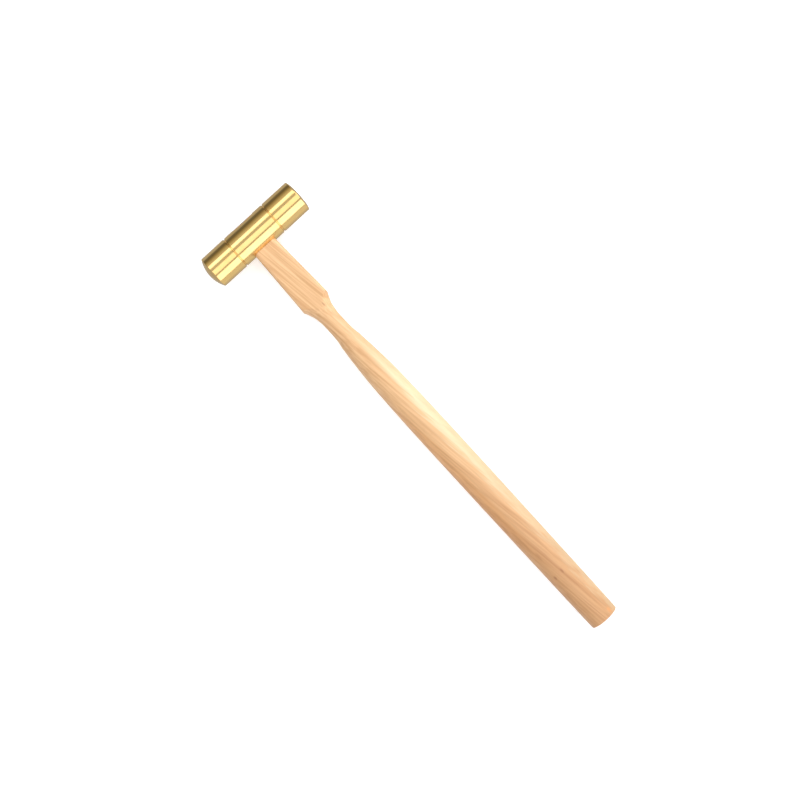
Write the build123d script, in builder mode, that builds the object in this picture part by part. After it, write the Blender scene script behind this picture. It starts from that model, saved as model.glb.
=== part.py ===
"""Small brass carving mallet: a turned brass head on a shaped hardwood handle.

Each piece is drawn in the mallet's own axes, with the origin where the axis of the
head crosses the axis of the handle: +X runs down the handle to its butt, +Y along the
head to the striking face and +Z up off the cheek. The last step lays the mallet on a
bench, resting on the side of its head and the edge of its butt, with the origin on the
bench under the middle of its box. Sizes are in millimetres.
"""

import os
from math import atan, cos, degrees, hypot, radians, sin

from build123d import *

# Head: one piece of brass bar, turned along Y.
head_diameter = 16.0
head_length = 54.0          # from the top of the dome to the striking face
dome_height = 2.2           # how far the domed face stands out past its rim
face_flat_diameter = 8.0    # level middle of the striking face
face_drop = 0.8             # how far the face falls away from there to its rim
rim_round = 0.35            # softened edge of both faces
groove_offset = 11.4        # each turned groove, from the axis of the handle
groove_width = 0.9
groove_depth = 0.55

# Handle: one piece of wood. Its widths lie along the head, its heights across it.
handle_reach = 233.5        # from the axis of the head to the end of the butt
neck_width = 11.9           # where the neck meets the head
neck_height = 7.6
neck_length = 33.0          # from the head's near side to the shoulder
shoulder_width = 14.4
shoulder_height = 9.5
neck_corner = 1.6           # rounding of the neck's long edges
cove_length = 12.6          # from the shoulder to the waist
cove_angle = 26.0           # how steeply the cove leaves the shoulder, in degrees
waist_width = 8.75
swell_length = 66.0         # from the waist to the belly of the grip
belly_width = 14.7
butt_width = 14.0
grip_flattening = 0.83      # height of the oval grip as a share of its width
butt_dome = 0.5
butt_round = 1.0

# Eye: the tapered hole that the neck's end is driven into and spread in.
neck_ledge = 0.3            # how far the neck stands out round the mouth of the eye
eye_pinch = 0.3             # how much each side closes in from the mouth to the middle
eye_flare = 0.6             # how much each side opens again from there to the far side
eye_corner = 1.8

# Wedges, and the saw cut that takes the wooden one.
end_recess = 0.15           # how far the wood stops below the brass
kerf_depth = 12.0
kerf_thickness = 0.5        # the wooden wedge narrows down to this
wooden_wedge_depth = 10.5
wooden_wedge_thickness = 1.9
steel_wedge_depth = 7.5
steel_wedge_width = 5.4
steel_wedge_thickness = 1.5
steel_wedge_tip = 0.3

head_radius = head_diameter / 2
half_length = head_length / 2
shoulder_distance = head_radius + neck_length
waist_distance = shoulder_distance + cove_length
belly_distance = waist_distance + swell_length


def across(distance):
    """A plane square to the handle: its x is along the head and its y is up."""
    return Plane(origin=(distance, 0, 0), x_dir=(0, 1, 0), z_dir=(1, 0, 0))


# --- the eye as a solid, which the head loses and the handle gains ---
eye_sections = [
    (head_radius, neck_ledge),
    (0, neck_ledge + eye_pinch),
    (-head_radius, neck_ledge + eye_pinch - eye_flare),
]

with BuildPart() as eye:
    for distance, inset in eye_sections:
        with BuildSketch(across(distance)):
            RectangleRounded(neck_width - 2 * inset, neck_height - 2 * inset, eye_corner)
    loft(ruled=True)

# --- head ---
dome_rim = (head_radius, dome_height - half_length)
face_rim = (head_radius, half_length - face_drop)
dome_radius = (head_radius**2 + dome_height**2) / (2 * dome_height)

with BuildPart() as head:
    with BuildSketch(Plane.XY) as head_half:
        with BuildLine():
            Line((0, half_length), (0, -half_length))
            RadiusArc((0, -half_length), dome_rim, -dome_radius)
            Line(dome_rim, face_rim)
            Line((0, half_length), (face_flat_diameter / 2, half_length))
            TangentArc((face_flat_diameter / 2, half_length), face_rim, tangent=(1, 0))
        make_face()
        fillet(head_half.vertices().group_by(Axis.X)[-1], rim_round)
    revolve(axis=Axis.Y)
    with BuildSketch(Plane.XY):
        for side in (-1, 1):
            with Locations((head_radius, side * groove_offset)):
                Polygon(
                    (0, -groove_width / 2),
                    (0, groove_width / 2),
                    (-groove_depth, 0),
                    align=None,
                )
    revolve(axis=Axis.Y, mode=Mode.SUBTRACT)
    add(eye.part, mode=Mode.SUBTRACT)
head.part.label = "head"

# --- handle: shaped all round first, then sawn down to a flat-sided neck ---
blank_radius = hypot(shoulder_width, shoulder_height)
shoulder = (shoulder_distance, shoulder_width / 2)
waist = (waist_distance, waist_width / 2)
butt_rim = (handle_reach - butt_dome, butt_width / 2)
butt_radius = ((butt_width / 2) ** 2 + butt_dome**2) / (2 * butt_dome)
# The swell rises fast after the waist and then levels out: share of its length, share
# of its rise.
swell_shares = [(0.16, 0.27), (0.34, 0.62), (0.6, 0.89), (1, 1)]
swell = [
    (waist[0] + along * swell_length, waist[1] + rise * (belly_width - waist_width) / 2)
    for along, rise in swell_shares
]

with BuildPart() as shaped:
    with BuildSketch(Plane.XY) as shaped_half:
        with BuildLine():
            Polyline(
                (handle_reach, 0),
                (0, 0),
                (0, blank_radius),
                (shoulder_distance - blank_radius, blank_radius),
                shoulder,
            )
            cove_start = (cos(radians(cove_angle)), -sin(radians(cove_angle)))
            Spline(shoulder, waist, tangents=[cove_start, (1, 0)])
            grip_end = (belly_distance - butt_rim[0], swell[-1][1] - butt_rim[1])
            Spline(waist, *swell, butt_rim, tangents=[(1, 0), (-grip_end[0], -grip_end[1])])
            RadiusArc(butt_rim, (handle_reach, 0), butt_radius)
        make_face()
        fillet(shaped_half.vertices().sort_by(Axis.X)[-2], butt_round)
    revolve(axis=Axis.X)
    scale(by=(1, 1, grip_flattening))

with BuildPart() as neck_waste:
    with BuildSketch(across(0)):
        Rectangle(3 * blank_radius, 3 * blank_radius)
    extrude(amount=waist_distance)
    neck_sections = [
        (0, neck_width, neck_height),
        (head_radius, neck_width, neck_height),
        (shoulder_distance, shoulder_width, shoulder_height),
        (waist_distance, shoulder_width, shoulder_height),
    ]
    for distance, width, height in neck_sections:
        with BuildSketch(across(distance)):
            RectangleRounded(width, height, neck_corner)
    loft(ruled=True, mode=Mode.SUBTRACT)

# --- what fills the eye: the handle's end, spread by its wedges ---
# (moved along the handle by the recess, so that it also bites into the neck)
with BuildPart() as eye_filling:
    add(eye.part)
    with Locations((end_recess, 0, 0)):
        Cylinder(head_radius, head_length, rotation=(90, 0, 0), mode=Mode.INTERSECT)


def taper(thick_end, thin_end, depth):
    """The side view of a wedge driven in from the far side of the head."""
    Polygon(
        (-head_radius, thick_end / 2),
        (-head_radius, -thick_end / 2),
        (depth - head_radius, -thin_end / 2),
        (depth - head_radius, thin_end / 2),
        align=None,
    )


with BuildPart() as steel_wedge:
    with BuildSketch(Plane.XY):
        taper(steel_wedge_thickness, steel_wedge_tip, steel_wedge_depth)
    extrude(amount=steel_wedge_width / 2, both=True)
    add(eye_filling.part, mode=Mode.INTERSECT)
steel_wedge.part.label = "steel_wedge"

with BuildPart() as spread_kerf:
    with BuildSketch(Plane.XZ):
        taper(wooden_wedge_thickness, kerf_thickness, wooden_wedge_depth)
    extrude(amount=half_length, both=True)

with BuildPart() as wooden_wedge:
    add(spread_kerf.part)
    add(eye_filling.part, mode=Mode.INTERSECT)
    add(steel_wedge.part, mode=Mode.SUBTRACT)
wooden_wedge.part.label = "wooden_wedge"

with BuildPart() as handle:
    add(shaped.part)
    add(neck_waste.part, mode=Mode.SUBTRACT)
    Cylinder(head_radius, head_length, rotation=(90, 0, 0), mode=Mode.SUBTRACT)
    add(eye_filling.part)
    add(spread_kerf.part, mode=Mode.SUBTRACT)
    add(steel_wedge.part, mode=Mode.SUBTRACT)
    with BuildSketch(Plane.XZ):
        taper(kerf_thickness, kerf_thickness, kerf_depth)
    extrude(amount=half_length, both=True, mode=Mode.SUBTRACT)
handle.part.label = "handle"

# --- lay the mallet on the bench: it rests on the side of its head and its butt ---
butt_drop = head_radius - butt_width / 2 * grip_flattening
tilt = degrees(atan(butt_drop / (handle_reach - butt_dome - butt_round)))
middle = (handle_reach * cos(radians(tilt)) - head_radius) / 2
on_bench = Location((-middle, 0, head_radius), (0, tilt, 0))

os.makedirs("parts", exist_ok=True)
for piece in (head, handle, wooden_wedge, steel_wedge):
    export_step(piece.part.moved(on_bench), f"parts/{piece.part.label}.step")
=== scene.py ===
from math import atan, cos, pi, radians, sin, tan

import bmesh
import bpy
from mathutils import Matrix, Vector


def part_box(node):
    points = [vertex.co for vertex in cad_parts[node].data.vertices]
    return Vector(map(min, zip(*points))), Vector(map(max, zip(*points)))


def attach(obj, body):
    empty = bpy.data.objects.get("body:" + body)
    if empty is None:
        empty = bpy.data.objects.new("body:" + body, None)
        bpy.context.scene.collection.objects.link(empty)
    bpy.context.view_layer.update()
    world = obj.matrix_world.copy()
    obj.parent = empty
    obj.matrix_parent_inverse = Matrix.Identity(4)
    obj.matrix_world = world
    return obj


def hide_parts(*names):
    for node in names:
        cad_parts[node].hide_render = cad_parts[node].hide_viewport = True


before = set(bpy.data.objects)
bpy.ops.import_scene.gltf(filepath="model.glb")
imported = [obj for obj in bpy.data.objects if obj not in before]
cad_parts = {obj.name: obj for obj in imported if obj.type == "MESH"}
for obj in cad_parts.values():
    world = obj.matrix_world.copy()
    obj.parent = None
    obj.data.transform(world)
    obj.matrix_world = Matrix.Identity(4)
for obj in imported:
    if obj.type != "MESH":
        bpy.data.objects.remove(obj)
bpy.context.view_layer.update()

# %% [markdown]
# # A small brass carving mallet
#
# The mallet lies on its side on a pale bench: the axis of the head runs along Y, the
# handle runs away from it along +X, and Z is up. Everything is in metres, in the frame
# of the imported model, so the head's own box there gives the landmarks for all that
# follows.

MM = 0.001
head_low, head_high = (Vector(corner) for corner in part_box("head"))
head_centre = (head_low + head_high) / 2
head_radius = (head_high.z - head_low.z) / 2
half_length = (head_high.y - head_low.y) / 2
print("head centre", head_centre, "radius", head_radius)

# %% [markdown]
# ## The camera
#
# A tool like this is shown from straight above on a white sweep. The camera could simply
# look down with its top along Y, but the mallet would then lie level in the frame, so the
# camera is rolled until the handle runs down to the lower right corner. A long lens keeps
# the sides of the head parallel.

# %% Camera
VIEW_WIDTH = 358.4 * MM        # how much of the bench the frame takes in
LENS = 72.0                    # mm
SENSOR = 36.0                  # mm
ROLL = radians(47.5)           # how steeply the handle runs down
AIM_PAST_HEAD = 98.5 * MM
AIM_ASIDE = -1.7 * MM
aim = Vector((head_centre.x + AIM_PAST_HEAD, AIM_ASIDE, head_centre.z))

camera_data = bpy.data.cameras.new("camera")
camera_data.lens = LENS
camera_data.sensor_width = SENSOR
camera_data.clip_start = 10 * MM
camera = bpy.data.objects.new("camera", camera_data)
camera.location = aim + Vector((0, 0, VIEW_WIDTH * LENS / SENSOR))
camera.rotation_euler = (0, 0, ROLL)
bpy.context.scene.collection.objects.link(camera)
bpy.context.scene.camera = camera
bpy.context.scene.view_settings.view_transform = "Standard"
print("camera at", camera.location)


# %% [markdown]
# ## A short way to write node trees
#
# Every finish here is a tree of nodes, and so is the handle's shape. Written out in full,
# each node takes several lines, so a small class adds a node and fills its sockets in one
# go. A socket takes either a plain value or another node's output.

# %% Node tree helper
class Tree:
    """Adds nodes to a shader or geometry tree and joins them up."""

    def __init__(self, tree):
        self.tree = tree

    def add(self, kind, inputs=None, **settings):
        node = self.tree.nodes.new(kind)
        for name, value in settings.items():
            setattr(node, name, value)
        for key, value in (inputs or {}).items():
            self.put(node.inputs[key], value)
        return node

    def put(self, socket, value):
        if isinstance(value, bpy.types.NodeSocket):
            self.tree.links.new(value, socket)
        else:
            socket.default_value = value

    def math(self, operation, *values):
        node = self.add("ShaderNodeMath", dict(enumerate(values)), operation=operation)
        return node.outputs[0]

    def linear(self, value, low, high, to_low=0.0, to_high=1.0, easing="LINEAR"):
        """Carries a value evenly from one range to another, and stops at the ends."""
        span = {"From Min": low, "From Max": high, "To Min": to_low, "To Max": to_high}
        node = self.add("ShaderNodeMapRange", {"Value": value, **span}, interpolation_type=easing)
        return node.outputs["Result"]

    def ramp(self, value, low, high, to_low=0.0, to_high=1.0):
        """Does the same with a soft start and a soft end."""
        return self.linear(value, low, high, to_low, to_high, "SMOOTHSTEP")

    def mix(self, factor, one, two, blend="MIX"):
        node = self.add("ShaderNodeMix", data_type="RGBA", blend_type=blend)
        sockets = (node.inputs[0], node.inputs[6], node.inputs[7])
        for socket, value in zip(sockets, (factor, one, two)):
            self.put(socket, value)
        return node.outputs[2]


def new_material(name):
    material = bpy.data.materials.new(name)
    material.use_nodes = True
    material.node_tree.nodes.clear()
    return material, Tree(material.node_tree)


print("helpers ready")

# %% [markdown]
# ## The bench
#
# The floor is a plain pale sheet. Polished brass mirrors whatever lies round it, so the
# sheet shows reflections a painted glow instead of its lit tone: dim far behind the head,
# brighter towards the handle. This painted reflection is what gives the round head its
# dark edges. It could be left white, but the head would then lose its outline against it.
# The little glow it adds for the camera keeps the sheet white right up to the mallet.

# %% Floor
HALF_FLOOR = 3.0
corners = [(-1, -1), (1, -1), (1, 1), (-1, 1)]
floor_mesh = bpy.data.meshes.new("floor")
places = [(x * HALF_FLOOR, y * HALF_FLOOR, 0) for x, y in corners]
floor_mesh.from_pydata(places, [], [(0, 1, 2, 3)])
floor = bpy.data.objects.new("floor", floor_mesh)
bpy.context.scene.collection.objects.link(floor)
print("floor", 2 * HALF_FLOOR, "m across")

# %% Floor sheet
SHEET_WHITE = (0.92, 0.92, 0.92, 1)
GLOW = 0.42
# Painted reflection: how brightly the sheet glows in the brass, far behind the head, near it and
# towards the handle.
FAR_TONE, NEAR_TONE, LIT_TONE = 0.17, 0.50, 0.30     # what brass mirrors of the sheet
far_edge = head_centre.x - 78 * MM
near_edge = head_centre.x - 33 * MM
lit_from, lit_to = head_centre.x + 8 * MM, head_centre.x + 30 * MM

floor_material, t = new_material("pale_sheet")
place = t.add("ShaderNodeTexCoord").outputs["Object"]
along = t.add("ShaderNodeSeparateXYZ", {0: place}).outputs["X"]
dim_side = t.ramp(along, far_edge, near_edge, FAR_TONE, NEAR_TONE)
lit_side = t.ramp(along, lit_from, lit_to, 0.0, LIT_TONE)
sheet = t.add("ShaderNodeBsdfDiffuse", {"Color": SHEET_WHITE}).outputs[0]
glow = t.add("ShaderNodeEmission", {"Strength": GLOW}).outputs[0]
lifted = t.add("ShaderNodeAddShader", {0: sheet, 1: glow}).outputs[0]
# Painted reflection: glossy rays see only this glow in place of the sheet's lit tone.
painted_reflection_glow = t.add("ShaderNodeEmission", {"Strength": t.math("ADD", dim_side, lit_side)}).outputs[0]
rays = t.add("ShaderNodeLightPath").outputs
seen = t.add("ShaderNodeMixShader", {0: rays["Is Camera Ray"], 1: sheet, 2: lifted}).outputs[0]
both = t.add("ShaderNodeMixShader", {0: rays["Is Glossy Ray"], 1: seen, 2: painted_reflection_glow}).outputs[0]
t.add("ShaderNodeOutputMaterial", {"Surface": both})
floor_mesh.materials.append(floor_material)
print("sheet mirrors at", FAR_TONE, "to", NEAR_TONE + LIT_TONE)

# %% [markdown]
# ## The light
#
# A round polished bar shows its lights as long bands, so the bands on the head say where
# the panels of the studio stand: two soft panels on the handle's side and overhead, and a
# narrow one on the far side. Each is placed by its angle round the head. One more soft
# light comes low over the striking face's side and draws the gleam along the handle.
# Panels are area lights and not bright walls, because a panel's edge has to be crisp in
# the brass.


# %% Soft lights
def soft_light(name, place, target, width, length, radiance, tint=(1, 1, 1)):
    """A panel that faces its target and is as bright as a sheet of this radiance."""
    light = bpy.data.lights.new(name, "AREA")
    light.shape = "RECTANGLE"
    light.size = width
    light.size_y = length
    light.color = tint
    light.energy = radiance * pi * width * length
    lamp = bpy.data.objects.new(name, light)
    lamp.location = place
    lamp.rotation_euler = (Vector(place) - Vector(target)).to_track_quat("Z", "Y").to_euler()
    lamp.visible_camera = False
    bpy.context.scene.collection.objects.link(lamp)
    print(name, "at", [round(c, 3) for c in place], "width", round(width, 3))
    return lamp


def panel_round_head(name, angle, spread, distance, radiance, tint=(1, 1, 1)):
    """A long panel beside the head, at an angle from straight up towards the handle."""
    place = head_centre + distance * Vector((sin(angle), 0, cos(angle)))
    width = 2 * distance * tan(spread / 2)
    lamp = soft_light(name, place, head_centre, width, PANEL_LENGTH, radiance, tint)
    lamp.rotation_euler = (0, angle, 0)        # its long side lies along the head


PANEL_LENGTH = 1.2
GLEAM_PLACE = (-0.16, 0.70, 0.50)          # low, past the striking face
COOL, FAINTLY_COOL = (0.97, 1.0, 1.14), (1.0, 1.0, 1.05)
panel_round_head("handle_side_panel", radians(60.2), radians(42.4), 1.1, 1.4, COOL)
panel_round_head("overhead_panel", radians(12.2), radians(30.4), 1.3, 0.96)
panel_round_head("far_side_panel", radians(-32.6), radians(20.8), 1.1, 1.3, FAINTLY_COOL)
soft_light("gleam", GLEAM_PLACE, target=(0, 0, 0), width=0.6, length=0.35, radiance=6.3)

# %% [markdown]
# The rest of the studio is dim and even. Its walls are darker behind the head than on the
# handle's side, and a little warm there, so the two flanks of the head differ as they do
# on a real bar beside a window. An image of a room would light it as well, but ramps
# over the direction of each ray say plainly what is bright and where.

# %% Studio walls
DIM_WALL = (0.165, 0.66)                   # brightness at the floor and overhead
LIT_WALL = (0.72, 0.56)
WARM, WHITE = (1, 0.9, 0.62, 1), (1, 1, 1, 1)
world = bpy.data.worlds.new("studio")
bpy.context.scene.world = world
world.use_nodes = True
world.node_tree.nodes.clear()
t = Tree(world.node_tree)
direction = t.add("ShaderNodeTexCoord").outputs["Generated"]
axes = t.add("ShaderNodeSeparateXYZ", {0: direction}).outputs
dim_wall = t.ramp(axes["Z"], 0.05, 0.75, *DIM_WALL)
lit_wall = t.ramp(axes["Z"], 0.0, 0.5, *LIT_WALL)
level = t.mix(t.ramp(axes["X"], -0.5, 0.3), dim_wall, lit_wall)
warmth = t.mix(t.ramp(axes["X"], -1.0, -0.6), WARM, WHITE)
walls = t.add("ShaderNodeBackground", {"Color": warmth, "Strength": level})
t.add("ShaderNodeOutputWorld", {"Surface": walls.outputs[0]})
print("studio walls from", DIM_WALL[0], "to", LIT_WALL[0], "at the floor")

# %% [markdown]
# ## Finishes
#
# Two effects turn up on more than one piece, so each is a node group that is built once
# and placed in each material with its own values. The helpers below start a group with
# named sockets, and write the two textures that both groups are made of.


# %% Group helpers
def new_group(name, inputs, outputs):
    """A shader node group with named sockets: (name, kind, default) and (name, kind)."""
    tree = bpy.data.node_groups.new(name, "ShaderNodeTree")
    for label, kind, default in inputs:
        socket = tree.interface.new_socket(label, in_out="INPUT", socket_type="NodeSocket" + kind)
        if default is not None:
            socket.default_value = default
    for label, kind in outputs:
        tree.interface.new_socket(label, in_out="OUTPUT", socket_type="NodeSocket" + kind)
    group = Tree(tree)
    given = group.add("NodeGroupInput").outputs
    out = group.add("NodeGroupOutput").inputs
    return tree, group, given, out


def stretched(t, vector, stretch):
    """The same place, squeezed by a number for each axis."""
    node = t.add("ShaderNodeVectorMath", {0: vector, 1: stretch}, operation="MULTIPLY")
    return node.outputs[0]


def noise(t, vector, scale=1.0, detail=2.0, roughness=0.5):
    values = {"Vector": vector, "Scale": scale, "Detail": detail, "Roughness": roughness}
    return t.add("ShaderNodeTexNoise", values).outputs[0]


def line_noise(t, value, scale=1.0, detail=2.0):
    """Noise along a single number, for layers and rings."""
    values = {"W": value, "Scale": scale, "Detail": detail}
    return t.add("ShaderNodeTexNoise", values, noise_dimensions="1D").outputs[0]


def turned_round_z(t, vector, angle):
    values = {"Vector": vector, "Angle": angle}
    return t.add("ShaderNodeVectorRotate", values, rotation_type="Z_AXIS").outputs[0]


print("group helpers ready")

# %% [markdown]
# ### Wood grain
#
# Sawn wood shows three things at once: year layers that run a little askew to the piece,
# fibres along it in light and dark streaks, and short open pores. The layers come first.
# A wave texture would give layers too, but too even ones, so here a layer is noise along
# one number, the depth through the year rings, and a slow drift makes them wander.

# %% Wood grain: the group and its year layers
DRIFT_STRETCH = (14, 90, 90)               # features per metre: along, across, up
DRIFT = 6 * MM                             # how far the layers wander
LAYER_TILT = 0.45                          # how far the layers lean over the cheek

grain_tree, g, given, out = new_group(
    "wood_grain",
    [
        ("Place", "Vector", None),
        ("Slant", "Float", 0.09),
        ("Layer Pitch", "Float", 2.1 * MM),
        ("Pale", "Color", (0.9, 0.6, 0.33, 1)),
        ("Dark", "Color", (0.75, 0.44, 0.2, 1)),
        ("Pore Depth", "Float", 0.35),
    ],
    [("Color", "Color"), ("Height", "Float"), ("Streaks", "Float")],
)
turned = turned_round_z(g, given["Place"], given["Slant"])
wander = g.math("SUBTRACT", noise(g, stretched(g, turned, DRIFT_STRETCH)), 0.5)
axes = g.add("ShaderNodeSeparateXYZ", {0: turned}).outputs
leaning = g.math("MULTIPLY_ADD", axes["Z"], LAYER_TILT, axes["Y"])
depth = g.math("MULTIPLY_ADD", wander, DRIFT, leaning)
year = g.math("DIVIDE", depth, given["Layer Pitch"])
layers = g.ramp(line_noise(g, year, detail=1.5), 0.35, 0.7)
print("layers lean", LAYER_TILT, "and drift by up to", DRIFT / MM / 2, "mm")

# %% [markdown]
# Fibres, hairs and pores are all noise that is stretched along the grain: broad and long
# for the fibres, finer for the hairs, and short for the pores. Drawn lines would repeat
# sooner or later, and noise doesn't.

# %% Wood grain: fibres, hairs and pores
FIBRE_STRETCH = (22, 1500, 1500)
HAIR_STRETCH = (70, 5200, 5200)
PORE_STRETCH = (420, 5200, 5200)

fibres = noise(g, stretched(g, turned, FIBRE_STRETCH), detail=3)
hairs = noise(g, stretched(g, turned, HAIR_STRETCH))
pores = g.ramp(noise(g, stretched(g, turned, PORE_STRETCH), detail=1), 0.66, 0.78)
print("a pore is about", round(1000 / PORE_STRETCH[0], 1), "mm long")

# %% [markdown]
# Layers and streaks are added up into one amount that runs from the pale tone to the dark
# one, so that every mark keeps to the wood's own two colours. Only the pores are browner.
# The group also gives a height, because open pores catch the light as small pits.

# %% Wood grain: colour and height
LAYER_SHARE, STREAK_SHARE = 0.42, 0.95
FIBRE_SHARE, HAIR_SHARE = 0.55, 0.3
PORE_BROWN = (0.42, 0.22, 0.1, 1)

bands = g.math("MULTIPLY", g.ramp(fibres, 0.36, 0.68), FIBRE_SHARE)
streaks = g.math("MULTIPLY_ADD", hairs, HAIR_SHARE, bands)
streaked = g.math("MULTIPLY", streaks, STREAK_SHARE)
amount = g.math("MULTIPLY_ADD", layers, LAYER_SHARE, streaked)
tone = g.mix(amount, given["Pale"], given["Dark"])
pored = g.mix(g.math("MULTIPLY", pores, given["Pore Depth"]), tone, PORE_BROWN)
g.put(out["Color"], pored)
g.put(out["Height"], g.math("SUBTRACT", g.math("MULTIPLY", hairs, 0.6), pores))
g.put(out["Streaks"], fibres)
print("wood_grain has", len(grain_tree.nodes), "nodes")

# %% [markdown]
# ### Worn metal
#
# Handled bare metal carries cloudy patches, fine scratches that lie mostly one way, and
# small dents. Scratches are the thin line where stretched noise crosses its middle value,
# and they gather where the clouds are thick. Dents are the middles of Voronoi cells.

# %% Worn metal
SCRATCH_STRETCH = (160, 3800, 900)         # features per metre: along, across, up
SCRATCH_SLANT = 0.6                        # radians
SCRATCH_WIDTH = 0.012                      # how near to the middle value counts
DENTS_PER_METRE = 420.0

worn_tree, g, given, out = new_group(
    "worn_metal",
    [
        ("Place", "Vector", None),
        ("Scratch Fineness", "Float", 1.0),
        ("Cloud Size", "Float", 6 * MM),
    ],
    [("Clouds", "Float"), ("Scratches", "Float"), ("Dents", "Float")],
)
clouds = noise(g, given["Place"], g.math("DIVIDE", 1.0, given["Cloud Size"]), 3, 0.6)
crossed = turned_round_z(g, given["Place"], SCRATCH_SLANT)
scratch_noise = noise(g, stretched(g, crossed, SCRATCH_STRETCH), given["Scratch Fineness"], 1)
from_middle = g.math("ABSOLUTE", g.math("SUBTRACT", scratch_noise, 0.5))
scratches = g.ramp(from_middle, SCRATCH_WIDTH, 0.0)
cells = {"Vector": given["Place"], "Scale": DENTS_PER_METRE, "Randomness": 1.0}
dents = g.add("ShaderNodeTexVoronoi", cells, feature="SMOOTH_F1").outputs["Distance"]
g.put(out["Clouds"], clouds)
g.put(out["Scratches"], g.math("MULTIPLY", scratches, g.ramp(clouds, 0.5, 0.7)))
g.put(out["Dents"], g.ramp(dents, 0.12, 0.3))
print("worn_metal has", len(worn_tree.nodes), "nodes")

# %% [markdown]
# Each finish below reads its place from the middle of the head, in the mallet's own
# frame, ends in one Principled shader, and is given to its piece.


# %% Material helpers
def place_from_head(t):
    place = t.add("ShaderNodeTexCoord").outputs["Object"]
    centre = tuple(head_centre)
    return t.add("ShaderNodeVectorMath", {0: place, 1: centre}, operation="SUBTRACT").outputs[0]


def use_group(t, tree, inputs):
    """Places a finished group in a material."""
    node = t.add("ShaderNodeGroup", node_tree=tree)
    for key, value in inputs.items():
        t.put(node.inputs[key], value)
    return node.outputs


def relief(t, height, strength, depth):
    """Turns a height into a normal, for marks this deep."""
    values = {"Height": height, "Strength": strength, "Distance": depth}
    return t.add("ShaderNodeBump", values).outputs[0]


def finish_with(t, values):
    shader = t.add("ShaderNodeBsdfPrincipled", values)
    t.add("ShaderNodeOutputMaterial", {"Surface": shader.outputs[0]})


def dress(node_name, material):
    """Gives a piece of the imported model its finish."""
    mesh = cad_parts[node_name].data
    mesh.materials.clear()
    mesh.materials.append(material)
    print(node_name, "wears", material.name)


print("material helpers ready")

# %% [markdown]
# ### Turned brass
#
# The head is turned from bar and polished on the lathe. The tool leaves rings that are
# far finer than the grooves: on the barrel they lie side by side along Y, and on the two
# end faces they run round the axis. An image of rings would need unwrapping and would
# break at the rims, so they are noise along one coordinate that does both: the distance
# along Y plus the distance from the axis.

# %% Tool rings on the brass
FINE_RINGS, BROAD_RINGS = 5200.0, 900.0    # per metre

brass, t = new_material("turned_brass")
from_centre = place_from_head(t)
axes = t.add("ShaderNodeSeparateXYZ", {0: from_centre}).outputs
x_squared = t.math("MULTIPLY", axes["X"], axes["X"])
from_axis = t.math("SQRT", t.math("MULTIPLY_ADD", axes["Z"], axes["Z"], x_squared))
feed = t.math("ADD", axes["Y"], from_axis)
fine_rings = line_noise(t, feed, FINE_RINGS)
broad_rings = line_noise(t, feed, BROAD_RINGS, detail=1.0)
tool_rings = t.math("MULTIPLY_ADD", broad_rings, 0.5, fine_rings)
wear = use_group(t, worn_tree, {"Place": from_centre, "Cloud Size": 7 * MM})
print("rings every", round(1000 / FINE_RINGS, 2), "and", round(1000 / BROAD_RINGS, 2), "mm")

# %% [markdown]
# Two places on the head differ from the rest. The walls of a V groove mirror each other,
# which deepens the colour of the brass twice over, so a paler brass is painted into the
# grooves as painted light, which keeps them from turning orange. The striking face is
# scuffed and dented by work.
# Both could be separate materials, but masks by place need no cuts in the mesh.

# %% Grooves and striking face
SKIN, WELL_IN = 0.12 * MM, 0.42 * MM       # depths below the barrel's surface
PAST_GROOVES, AT_GROOVES = 15 * MM, 14 * MM

below_skin = t.ramp(from_axis, head_radius - SKIN, head_radius - WELL_IN)
on_barrel = t.ramp(t.math("ABSOLUTE", axes["Y"]), PAST_GROOVES, AT_GROOVES)
in_groove = t.math("MULTIPLY", below_skin, on_barrel)
struck = t.ramp(axes["Y"], half_length - 1.0 * MM, half_length - 0.5 * MM)
print("groove mask from", round(SKIN / MM, 2), "mm below the barrel")

# %% [markdown]
# Handling leaves polished brass faintly mottled, in colour and in gloss. One texture of
# clouds gives both, so that a duller patch is also a deeper one. Tool rings, blows and
# scratches go into a normal, since they are only microns deep.

# %% The brass itself
POLISH = 0.115                             # roughness of the polished brass
BRASS, DEEPER_BRASS = (0.90, 0.625, 0.255, 1), (0.88, 0.59, 0.225, 1)
# Painted light: the grooves are painted a paler brass, here called cut brass, so that their
# mirrored walls don't turn them orange.
GROOVE_PAINTED_LIGHT = (0.98, 0.84, 0.58, 1)
GROOVE_LIGHT_SHOWS = 0.65                           # how much of the cut brass a groove shows
GROOVE_DULLER, FACE_DULLER = 0.08, 0.14    # added to the roughness
BLOW_DEPTH, SCRATCH_DEPTH = 2.2, 0.5       # next to the tool rings

mottled_brass = t.mix(t.ramp(wear["Clouds"], 0.35, 0.7), BRASS, DEEPER_BRASS)
# The grooves take the painted light, a paler brass, in place of part of their own colour.
colour = t.mix(t.math("MULTIPLY", in_groove, GROOVE_LIGHT_SHOWS), mottled_brass, GROOVE_PAINTED_LIGHT)
mottled = t.ramp(wear["Clouds"], 0.3, 0.75, POLISH - 0.015, POLISH + 0.045)
scuffed = t.math("MULTIPLY_ADD", struck, FACE_DULLER, mottled)
roughness = t.math("MULTIPLY_ADD", in_groove, GROOVE_DULLER, scuffed)

blows = t.math("MULTIPLY", t.math("MULTIPLY", wear["Dents"], struck), BLOW_DEPTH)
scratches = t.math("MULTIPLY", wear["Scratches"], SCRATCH_DEPTH)
surface = t.math("SUBTRACT", t.math("ADD", tool_rings, blows), scratches)
finish_with(t, {
    "Base Color": colour,
    "Metallic": 1.0,
    "Roughness": roughness,
    "Normal": relief(t, surface, strength=0.35, depth=0.004 * MM),
})
dress("head", brass)
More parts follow.
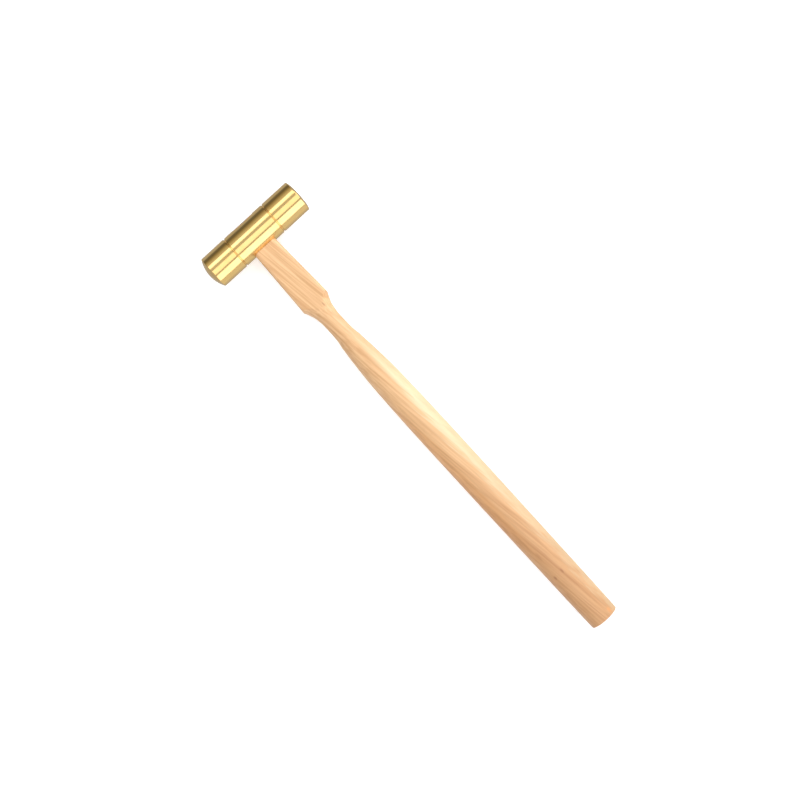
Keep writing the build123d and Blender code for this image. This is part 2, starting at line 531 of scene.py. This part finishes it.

# %% [markdown]
# ### Handle wood
#
# The handle is a pale, close-grained hardwood with a thin satin finish. The grain group
# gives its figure, a few degrees askew to the handle. A paler colour shows along the lit
# side of the grip: partly sapwood, partly a painted highlight where the gleam falls. It
# reaches furthest across the grip at the belly and ends in long streaks. It could be
# painted on an image, but a rule of place stays sharp at any size: its edge is a line
# along the handle that the fibres' own noise pushes about.

# %% Grain, and sapwood with a painted highlight
WOOD_PALE, WOOD_DARK = (0.895, 0.578, 0.303, 1), (0.645, 0.347, 0.148, 1)
# Partly the sapwood's own colour, partly a painted highlight on the lit side.
SAPWOOD_AND_HIGHLIGHT = (0.98, 0.84, 0.55, 1)
PALE_SIDE_START, PALE_SIDE_MIDDLE = 46 * MM, 106 * MM  # down the handle, from the head's axis
PALE_SIDE_LEAN = 0.026                           # how fast its edge draws back both ways
PALE_SIDE_EDGE = 3.5 * MM
RAGGED = 12 * MM                           # how far the fibres push the edge about

wood, t = new_material("handle_wood")
from_head = place_from_head(t)
axes = t.add("ShaderNodeSeparateXYZ", {0: from_head}).outputs
figure = {"Place": from_head, "Slant": radians(-8), "Pale": WOOD_PALE, "Dark": WOOD_DARK}
grain = use_group(t, grain_tree, figure)
off_middle = t.math("ABSOLUTE", t.math("SUBTRACT", axes["X"], PALE_SIDE_MIDDLE))
askew = t.math("MULTIPLY_ADD", off_middle, -PALE_SIDE_LEAN, axes["Y"])
fibre_push = t.math("SUBTRACT", grain["Streaks"], 0.5)
streaky = t.math("MULTIPLY_ADD", fibre_push, RAGGED, askew)
past_start = t.ramp(axes["X"], PALE_SIDE_START, PALE_SIDE_MIDDLE)
sapwood_and_highlight = t.math("MULTIPLY", t.ramp(streaky, 0.0, PALE_SIDE_EDGE), past_start)
# Painted highlight and sapwood: the paler colour laid over the lit side of the grip.
tone = t.mix(t.math("MULTIPLY", sapwood_and_highlight, 0.5), grain["Color"], SAPWOOD_AND_HIGHLIGHT)
print("sapwood widest", round(PALE_SIDE_MIDDLE / MM), "mm down the handle")

# %% [markdown]
# The wood is darker from the belly to the butt, and on the side away from the paler, lit
# side the grip is streaked with amber. The end of the handle that shows at the crown of the
# head is cut across its fibres and drinks more finish. All three only take light away, so
# they are multiplied over the grain and leave its figure in sight.

# %% Darker butt, amber streaks and end grain
BUTT_DARKENING_TINT = (0.78, 0.69, 0.62, 1)
AMBER_TINT = (1.0, 0.90, 0.79, 1)
END_GRAIN_TINT = (0.72, 0.62, 0.53, 1)
BUTT_DARKENING = (90 * MM, 215 * MM)                 # each pair: none of it here, all of it there
AMBER_COMES, AMBER_GOES = (84 * MM, 120 * MM), (205 * MM, 165 * MM)
AMBER_SIDE = (-2.5 * MM, -7.0 * MM)
CROWN = (-2 * MM, -6 * MM)

tone = t.mix(t.ramp(axes["X"], *BUTT_DARKENING), tone, BUTT_DARKENING_TINT, "MULTIPLY")
comes, goes = t.ramp(axes["X"], *AMBER_COMES), t.ramp(axes["X"], *AMBER_GOES)
amber = t.math("MULTIPLY", t.ramp(streaky, *AMBER_SIDE), t.math("MULTIPLY", comes, goes))
tone = t.mix(amber, tone, AMBER_TINT, "MULTIPLY")
tone = t.mix(t.ramp(axes["X"], *CROWN), tone, END_GRAIN_TINT, "MULTIPLY")
print("handle_wood has", len(wood.node_tree.nodes), "nodes before its marks")

# %% [markdown]
# A few small dark flecks and one amber spot at the rim of the butt are placed one by one,
# because these are single marks and no noise would put them just there. Each is a
# soft-edged ellipsoid in the wood, so it shows wherever the surface cuts through it.


# %% Flecks and an amber spot
def mark(t, vector, centre, size):
    """A soft-edged mark: 1 inside, 0 outside. Centre and half size are in mm."""
    middle = tuple(MM * c for c in centre)
    moved = t.add("ShaderNodeVectorMath", {0: vector, 1: middle}, operation="SUBTRACT")
    scaled = stretched(t, moved.outputs[0], tuple(1 / (MM * side) for side in size))
    reach = t.add("ShaderNodeVectorMath", {0: scaled}, operation="LENGTH").outputs["Value"]
    return t.ramp(reach, 1.0, 0.4)


FLECK_BROWN = (0.38, 0.15, 0.06, 1)
RIM_SPOT_AMBER = (0.78, 0.33, 0.10, 1)
marks = [                                  # centre, half size, how strong, colour
    ((204, -4.3, 4), (1.5, 0.65, 4), 0.8, FLECK_BROWN),
    ((203.3, 0.1, 4), (1.7, 0.6, 4), 0.8, FLECK_BROWN),
    ((192, -3.3, 4), (3.2, 0.7, 4), 0.3, FLECK_BROWN),
    ((44, 2.1, 4), (1.5, 0.6, 3), 0.5, FLECK_BROWN),
    ((230.5, 3.9, 2), (2.0, 1.0, 5), 0.5, RIM_SPOT_AMBER),
]
for centre, size, strength, stain in marks:
    spotted = t.math("MULTIPLY", mark(t, from_head, centre, size), strength)
    tone = t.mix(spotted, tone, stain)
print(len(marks), "marks on the wood")

# %% [markdown]
# The satin finish is a thin coat over the wood, so it has its own soft gloss above the
# grain's. Without the coat the gleam along the handle would spread and go dull; a high
# gloss would turn it into a hard white line.

# %% Satin finish
SATIN = (0.42, 0.50)                       # roughness of pale fibres and of dark ones

satin = t.ramp(grain["Streaks"], 0.3, 0.7, *SATIN)
finish_with(t, {
    "Base Color": tone,
    "Roughness": satin,
    "Normal": relief(t, grain["Height"], strength=0.35, depth=0.02 * MM),
    "Coat Weight": 0.35,
    "Coat Roughness": 0.38,
})
print("handle_wood has", len(wood.node_tree.nodes), "nodes")

# %% [markdown]
# ## The handle
#
# A handle like this is shaped all round first, to an oval that swells and thins along its
# length, and then its neck is sawn down to four flat sides. It could be modelled as two
# solids and a Boolean, but the cut would leave a hard line that is awkward to soften. So
# the rule itself is built: every cross-section is the smaller of two outlines, the oval
# and the neck's rounded rectangle, and the line where they meet is sanded over. Geometry
# Nodes wind a grid of points round the handle's axis, and each point finds its distance
# from the axis in the smaller outline.
#
# The tree works in the handle's own axes, with X from the axis of the head to the butt.

# %% The handle's sizes
shoulder = head_radius + 33.0 * MM         # places down the handle
waist = shoulder + 12.6 * MM
belly = waist + 66.0 * MM
sizes = {
    "Reach": 233.5 * MM,                   # from the axis of the head to the butt's end
    "Head Radius": head_radius,
    "Neck Width": 11.9 * MM,               # where the neck meets the head
    "Neck Height": 7.6 * MM,
    "Shoulder": shoulder,
    "Shoulder Width": 14.4 * MM,
    "Shoulder Height": 9.5 * MM,
    "Waist": waist,
    "Waist Width": 8.75 * MM,
    "Belly Width": 14.7 * MM,
    "Flattening": 0.83,                    # height of the oval as a share of its width
    "Sanding": 0.3 * MM,                   # softness of the line between neck and oval
    "Butt Round": 1.5 * MM,                # length of the softened, slightly domed end
    "Ledge": 0.3 * MM,                     # how far the neck stands out round the eye
    "Tenon Cut": 5.0 * MM,                 # where the shaped part starts inside the eye
}
BUTT_WIDTH = 14.0 * MM
butt_start = sizes["Reach"] - sizes["Butt Round"]
print("handle", round(sizes["Reach"] / MM, 1), "mm from the axis of the head to its end")

# %% [markdown]
# The line of the grip is drawn, as it is on a real pattern board: it falls through the
# cove to the waist, rises fast to the belly and then stays nearly level to the butt. Each
# of its points is a place along the handle, and how far the half-width there has risen
# from the waist (0) to the belly (1).


# %% The drawn line of the grip
def share_of_swell(width):
    thinnest, thickest = sizes["Waist Width"], sizes["Belly Width"]
    return (width - thinnest) / (thickest - thinnest)


def between(start, end, share):
    return start + share * (end - start)


grip_line = [
    (shoulder, share_of_swell(sizes["Shoulder Width"])),
    (between(shoulder, waist, 0.24), 0.48),
    (between(shoulder, waist, 0.55), 0.13),
    (waist, 0.0),
    (between(waist, belly, 0.16), 0.27),
    (between(waist, belly, 0.34), 0.62),
    (between(waist, belly, 0.60), 0.89),
    (belly, 1.0),
    (between(belly, butt_start, 0.5), 0.975),
    (butt_start, share_of_swell(BUTT_WIDTH)),
]
print("the grip line's points, mm:", [round(place / MM) for place, _ in grip_line])

# %% [markdown]
# The tree has one named input for each size, and only the drawn line is stored inside it.
# The grid's points are numbered row by row: a row is one ring round the handle, so
# division gives the ring, and what is left over gives the angle. The rings lie closest
# together at the cove, where the sanded line winds round the handle.

# %% Rings and angles
AROUND = 128                               # points in one cross-section
MOUTH_RINGS = 3                            # inside the eye and at its mouth
NECK_RINGS, COVE_RINGS, GRIP_RINGS, END_RINGS = 45, 150, 240, 16

carver = bpy.data.node_groups.new("carved_handle", "GeometryNodeTree")
for name in sizes:
    carver.interface.new_socket(name, in_out="INPUT", socket_type="NodeSocketFloat")
carver.interface.new_socket("Wood", in_out="INPUT", socket_type="NodeSocketMaterial")
carver.interface.new_socket("Handle", in_out="OUTPUT", socket_type="NodeSocketGeometry")
g = Tree(carver)
given = g.add("NodeGroupInput").outputs

neck_first = MOUTH_RINGS
cove_first = neck_first + NECK_RINGS
grip_first = cove_first + COVE_RINGS
butt_first = grip_first + GRIP_RINGS
ring_count = butt_first + END_RINGS
grid = g.add("GeometryNodeMeshGrid", {"Vertices X": ring_count + 1, "Vertices Y": AROUND + 1})
number = g.add("GeometryNodeInputIndex").outputs[0]
ring = g.math("FLOOR", g.math("DIVIDE", g.math("ADD", number, 0.5), AROUND + 1))
spoke = g.math("SUBTRACT", number, g.math("MULTIPLY", ring, AROUND + 1))
angle = g.math("MULTIPLY", g.math("MODULO", spoke, AROUND), 2 * pi / AROUND)
cosine, sine = g.math("COSINE", angle), g.math("SINE", angle)
print(ring_count + 1, "rings of", AROUND, "points")

# %% [markdown]
# ### The neck's outline
#
# The neck is a rectangle with rounded corners. Straight sides and arcs would need cases
# to tell them apart; a superellipse, with a power well over 2, gives nearly flat sides
# and round corners in one formula. The neck is hollowed where it meets the head, as a
# joiner copes it: the height of each point there says how far back the round head is.


# %% Rectangle with rounded corners, and the coped start
def box_outline(half_width, half_height, power=7.0):
    """Distance from the axis to a rectangle with well-rounded corners."""
    across, upward = g.math("ABSOLUTE", cosine), g.math("ABSOLUTE", sine)
    wide = g.math("POWER", g.math("DIVIDE", across, half_width), power)
    high = g.math("POWER", g.math("DIVIDE", upward, half_height), power)
    return g.math("POWER", g.math("ADD", wide, high), -1 / power)


half = {name: g.math("MULTIPLY", given[name], 0.5) for name in sizes
        if name.endswith(("Width", "Height"))}
neck_start = box_outline(half["Neck Width"], half["Neck Height"])
up = g.math("MULTIPLY", neck_start, sine)
head_squared = g.math("MULTIPLY", given["Head Radius"], given["Head Radius"])
up_squared = g.math("MULTIPLY", up, up)
coped = g.math("SQRT", g.math("SUBTRACT", head_squared, up_squared))
print("half sizes:", list(half))

# %% [markdown]
# ### How far along the handle each ring is
#
# The rings run over three stretches, neck, cove and grip, each at its own even pitch.
# The last rings turn over the softened edge of the butt and close on its middle: there
# the place runs on as a sine and the outline shrinks as a cosine.

# %% Place along the handle
BEFORE_COVE, PAST_COVE = 2 * MM, 4 * MM    # margins of the closely ringed stretch
EDGE_POWER = 2 / 3                         # below 1 squares the rounded edge

cove_start = g.math("SUBTRACT", given["Shoulder"], BEFORE_COVE)
grip_start = g.math("ADD", given["Waist"], PAST_COVE)
body_end = g.math("SUBTRACT", given["Reach"], given["Butt Round"])
on_neck = g.linear(ring, neck_first, cove_first)
on_cove = g.linear(ring, cove_first, grip_first)
on_grip = g.linear(ring, grip_first, butt_first)
run = coped
for share, start, end in (
    (on_neck, coped, cove_start),
    (on_cove, cove_start, grip_start),
    (on_grip, grip_start, body_end),
):
    run = g.math("MULTIPLY_ADD", g.math("SUBTRACT", end, start), share, run)

turn = g.linear(ring, butt_first, ring_count, 0.0, pi / 2)
rise = g.math("POWER", g.math("MAXIMUM", g.math("SINE", turn), 0.0), EDGE_POWER)
shrink = g.math("POWER", g.math("MAXIMUM", g.math("COSINE", turn), 0.0), EDGE_POWER)
distance = g.math("MULTIPLY_ADD", rise, given["Butt Round"], run)
ringed = waist + PAST_COVE - (shoulder - BEFORE_COVE)
print("cove ringed every", round(ringed / COVE_RINGS / MM, 2), "mm")

# %% [markdown]
# ### The two outlines
#
# The neck's outline widens evenly from the head to the shoulder. Past the waist it opens
# out, so that it is never the smaller one there and the grip is left to the oval.

# %% The neck's outline
to_shoulder = (run, given["Head Radius"], given["Shoulder"])
neck_half_width = g.linear(*to_shoulder, half["Neck Width"], half["Shoulder Width"])
neck_half_height = g.linear(*to_shoulder, half["Neck Height"], half["Shoulder Height"])
past_waist = g.math("MAXIMUM", g.math("SUBTRACT", run, given["Waist"]), 0.0)
neck = g.math("ADD", box_outline(neck_half_width, neck_half_height), past_waist)
print("neck", sizes["Neck Width"] / MM, "to", sizes["Shoulder Width"] / MM, "mm wide")

# %% [markdown]
# The oval follows the drawn line. A Float Curve holds that line inside the tree and joins
# its points smoothly, where a formula for it would be long and hard to change. Before the
# shoulder the oval opens out at 45 degrees, which leaves the neck to its flat sides.

# %% The oval
down_line = g.linear(run, given["Shoulder"], body_end)
drawn = g.add("ShaderNodeFloatCurve", {"Value": down_line})
points = drawn.mapping.curves[0].points
while len(points) < len(grip_line):
    points.new(0.5, 0.5)
for point, (place, share) in zip(points, grip_line):
    point.location = ((place - shoulder) / (butt_start - shoulder), share)
    point.handle_type = "AUTO"
drawn.mapping.update()
swell = g.math("SUBTRACT", half["Belly Width"], half["Waist Width"])
drawn_half = g.math("MULTIPLY_ADD", drawn.outputs[0], swell, half["Waist Width"])
before_shoulder = g.math("MAXIMUM", g.math("SUBTRACT", given["Shoulder"], run), 0.0)
oval_half = g.math("ADD", drawn_half, before_shoulder)
flat_sine = g.math("DIVIDE", sine, given["Flattening"])
flat_squared = g.math("MULTIPLY", flat_sine, flat_sine)
roundness = g.math("SQRT", g.math("MULTIPLY_ADD", cosine, cosine, flat_squared))
oval = g.math("DIVIDE", oval_half, roundness)
print("the drawn curve has", len(points), "points")

# %% [markdown]
# ### The carved surface
#
# The smaller outline wins, with the line between them sanded: Smooth Minimum does both.
# The end closes over the butt. The first three rings are the start inside the eye: ring 0
# closes on the axis, ring 1 is the outline deep in the eye, and ring 2 is the same
# outline at its mouth, a ledge smaller than the neck.

# %% Smaller outline, and the closed ends
carved = g.math("MULTIPLY", g.math("SMOOTH_MIN", oval, neck, given["Sanding"]), shrink)
in_eye = g.math("LESS_THAN", ring, MOUTH_RINGS - 0.5)
carved = g.math("SUBTRACT", carved, g.math("MULTIPLY", in_eye, given["Ledge"]))
carved = g.math("MULTIPLY", carved, g.math("MINIMUM", ring, 1.0))
deep_in_eye = g.math("LESS_THAN", ring, MOUTH_RINGS - 1.5)
gap = g.math("SUBTRACT", given["Tenon Cut"], distance)
distance = g.math("MULTIPLY_ADD", deep_in_eye, gap, distance)
print("carved_handle has", len(carver.nodes), "nodes so far")

# %% [markdown]
# Ring by ring, distance along the handle, outline and angle now say where each point of
# the flat grid belongs. Setting the positions winds the grid up, and merging the points
# that meet closes its seam and both of its ends. A tube swept along a curve would do for
# a round handle, but not for one whose outline changes from a rectangle to an oval.

# %% Winding the grid
WELD = 0.001 * MM                          # points this close become one

aside, upward = g.math("MULTIPLY", carved, cosine), g.math("MULTIPLY", carved, sine)
spot = g.add("ShaderNodeCombineXYZ", {"X": distance, "Y": aside, "Z": upward}).outputs[0]
laid_out = {"Geometry": grid.outputs["Mesh"], "Position": spot}
wound = g.add("GeometryNodeSetPosition", laid_out).outputs[0]
closed = g.add("GeometryNodeMergeByDistance", {"Geometry": wound, "Distance": WELD}).outputs[0]
real = g.add("GeometryNodeRealizeInstances", {"Geometry": closed}).outputs[0]
painted = g.add("GeometryNodeSetMaterial", {"Geometry": real, "Material": given["Wood"]})
g.add("NodeGroupOutput", {"Handle": painted.outputs[0]})
print("carved_handle has", len(carver.nodes), "nodes")

# %% [markdown]
# The tree is run once on an empty object, and only the mesh it makes is kept, because it
# has to be joined to another one. It is then tilted and moved to where the handle lies:
# the mallet rests on the side of its head and on the edge of its butt.


# %% Carving it, and laying it in the head
def run_tree(name, tree, values):
    """Evaluates a tree on an empty object and returns the plain mesh it makes."""
    blank = bpy.data.objects.new(name, bpy.data.meshes.new(name))
    bpy.context.scene.collection.objects.link(blank)
    modifier = blank.modifiers.new(name, "NODES")
    modifier.node_group = tree
    sockets = {s.name: s.identifier for s in tree.interface.items_tree if s.in_out == "INPUT"}
    for label, value in values.items():
        modifier[sockets[label]] = value
    evaluated = blank.evaluated_get(bpy.context.evaluated_depsgraph_get())
    mesh = bpy.data.meshes.new_from_object(evaluated)
    bpy.data.objects.remove(blank)
    return mesh


carved_mesh = run_tree("carved_handle", carver, {**sizes, "Wood": wood})
butt_drop = head_radius - BUTT_WIDTH / 2 * sizes["Flattening"]
tilt = atan(butt_drop / butt_start)
to_head = Matrix.Translation((head_centre.x, head_centre.y, head_radius))
laid = to_head @ Matrix.Rotation(tilt, 4, "Y")
carved_mesh.transform(laid)
print("carved", len(carved_mesh.vertices), "points, tilt", round(tilt, 5))

# %% [markdown]
# The handle's other end is hidden in the eye and shows at the crown, where a saw cut holds
# the wedges. Its shape is a matter of fits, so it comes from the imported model: a copy of
# the handle is cut off inside the eye, and the shaped part joins it there.

# %% The fitted end
fitted = bmesh.new()
fitted.from_mesh(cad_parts["handle"].data)
bmesh.ops.remove_doubles(fitted, verts=fitted.verts, dist=WELD)
bmesh.ops.bisect_plane(
    fitted,
    geom=fitted.verts[:] + fitted.edges[:] + fitted.faces[:],
    plane_co=laid @ Vector((sizes["Tenon Cut"], 0, 0)),
    plane_no=laid.to_3x3() @ Vector((1, 0, 0)),
    clear_outer=True,
)
bmesh.ops.holes_fill(fitted, edges=[e for e in fitted.edges if e.is_boundary])
fitted_mesh = bpy.data.meshes.new("fitted_end")
fitted.to_mesh(fitted_mesh)
fitted.free()
print("fitted end", len(fitted_mesh.polygons), "faces")

# %% Joining the two
shaped = bmesh.new()
shaped.from_mesh(carved_mesh)
if shaped.calc_volume(signed=True) < 0:
    bmesh.ops.reverse_faces(shaped, faces=shaped.faces)
shaped.from_mesh(fitted_mesh)
volume, open_edges = shaped.calc_volume() / MM**3, sum(e.is_boundary for e in shaped.edges)
handle_mesh = bpy.data.meshes.new("handle_wood")
shaped.to_mesh(handle_mesh)
shaped.free()
print("volume", round(volume), "mm3, open edges", open_edges)

# %% [markdown]
# The joined mesh is shaded smooth, except across edges that turn by more than 50 degrees:
# those are the rims at the eye and round the saw cut, which are sharp in the wood too. It
# stands for the imported handle, which is hidden, and wears the handle's wood finish.

# %% The handle's piece
SHARP = radians(50)
face_count = len(handle_mesh.polygons)
handle_mesh.materials.clear()
handle_mesh.materials.append(wood)
handle_mesh.polygons.foreach_set("material_index", [0] * face_count)
handle_mesh.polygons.foreach_set("use_smooth", [True] * face_count)
handle_mesh.set_sharp_from_angle(angle=SHARP)
handle = bpy.data.objects.new("handle_wood", handle_mesh)
bpy.context.scene.collection.objects.link(handle)
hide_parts("handle")
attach(handle, "root")
print("handle_wood has", face_count, "faces")

# %% [markdown]
# ## The wedges
#
# Two wedges are driven into the handle's end at the crown of the head: a darker wooden
# one in the saw cut, then a small steel one across it. Their shapes are the packed
# model's own, because they have to fit the cut, so they only need finishes. The wooden
# one is cut across its fibres there: it takes little gloss, its year layers are close and
# its pores are open. The grain group serves again, with other values.

# %% Wedge wood
wedge_wood, t = new_material("wedge_wood")
figure = {
    "Place": place_from_head(t),
    "Slant": radians(4),
    "Layer Pitch": 0.9 * MM,
    "Pale": (0.30, 0.15, 0.07, 1),
    "Dark": (0.16, 0.075, 0.035, 1),
    "Pore Depth": 0.8,
}
grain = use_group(t, grain_tree, figure)
finish_with(t, {
    "Base Color": grain["Color"],
    "Roughness": 0.62,
    "Normal": relief(t, grain["Height"], strength=0.5, depth=0.03 * MM),
})
dress("wooden_wedge", wedge_wood)

# %% [markdown]
# The steel is mill grey, battered by the hammer that drove it, with a brown bloom where
# it has begun to rust. Rust isn't a metal any more, so the same patches that colour it
# also take the metal away and roughen it.

# %% Wedge steel
STEEL_GREY, RUST_BROWN = (0.40, 0.40, 0.41, 1), (0.20, 0.10, 0.05, 1)
RUST_COVERS = 0.7
STEEL_ROUGHNESS, RUST_ROUGHER = 0.34, 0.3

wedge_steel, t = new_material("wedge_steel")
worn = {"Place": place_from_head(t), "Cloud Size": 1.2 * MM, "Scratch Fineness": 1.6}
wear = use_group(t, worn_tree, worn)
rust = t.ramp(wear["Clouds"], 0.52, 0.68)
covered = t.math("MULTIPLY", rust, RUST_COVERS)
battered = t.math("SUBTRACT", wear["Dents"], wear["Scratches"])
finish_with(t, {
    "Base Color": t.mix(covered, STEEL_GREY, RUST_BROWN),
    "Metallic": t.math("SUBTRACT", 1.0, covered),
    "Roughness": t.math("MULTIPLY_ADD", rust, RUST_ROUGHER, STEEL_ROUGHNESS),
    "Normal": relief(t, battered, strength=0.6, depth=0.05 * MM),
})
dress("steel_wedge", wedge_steel)
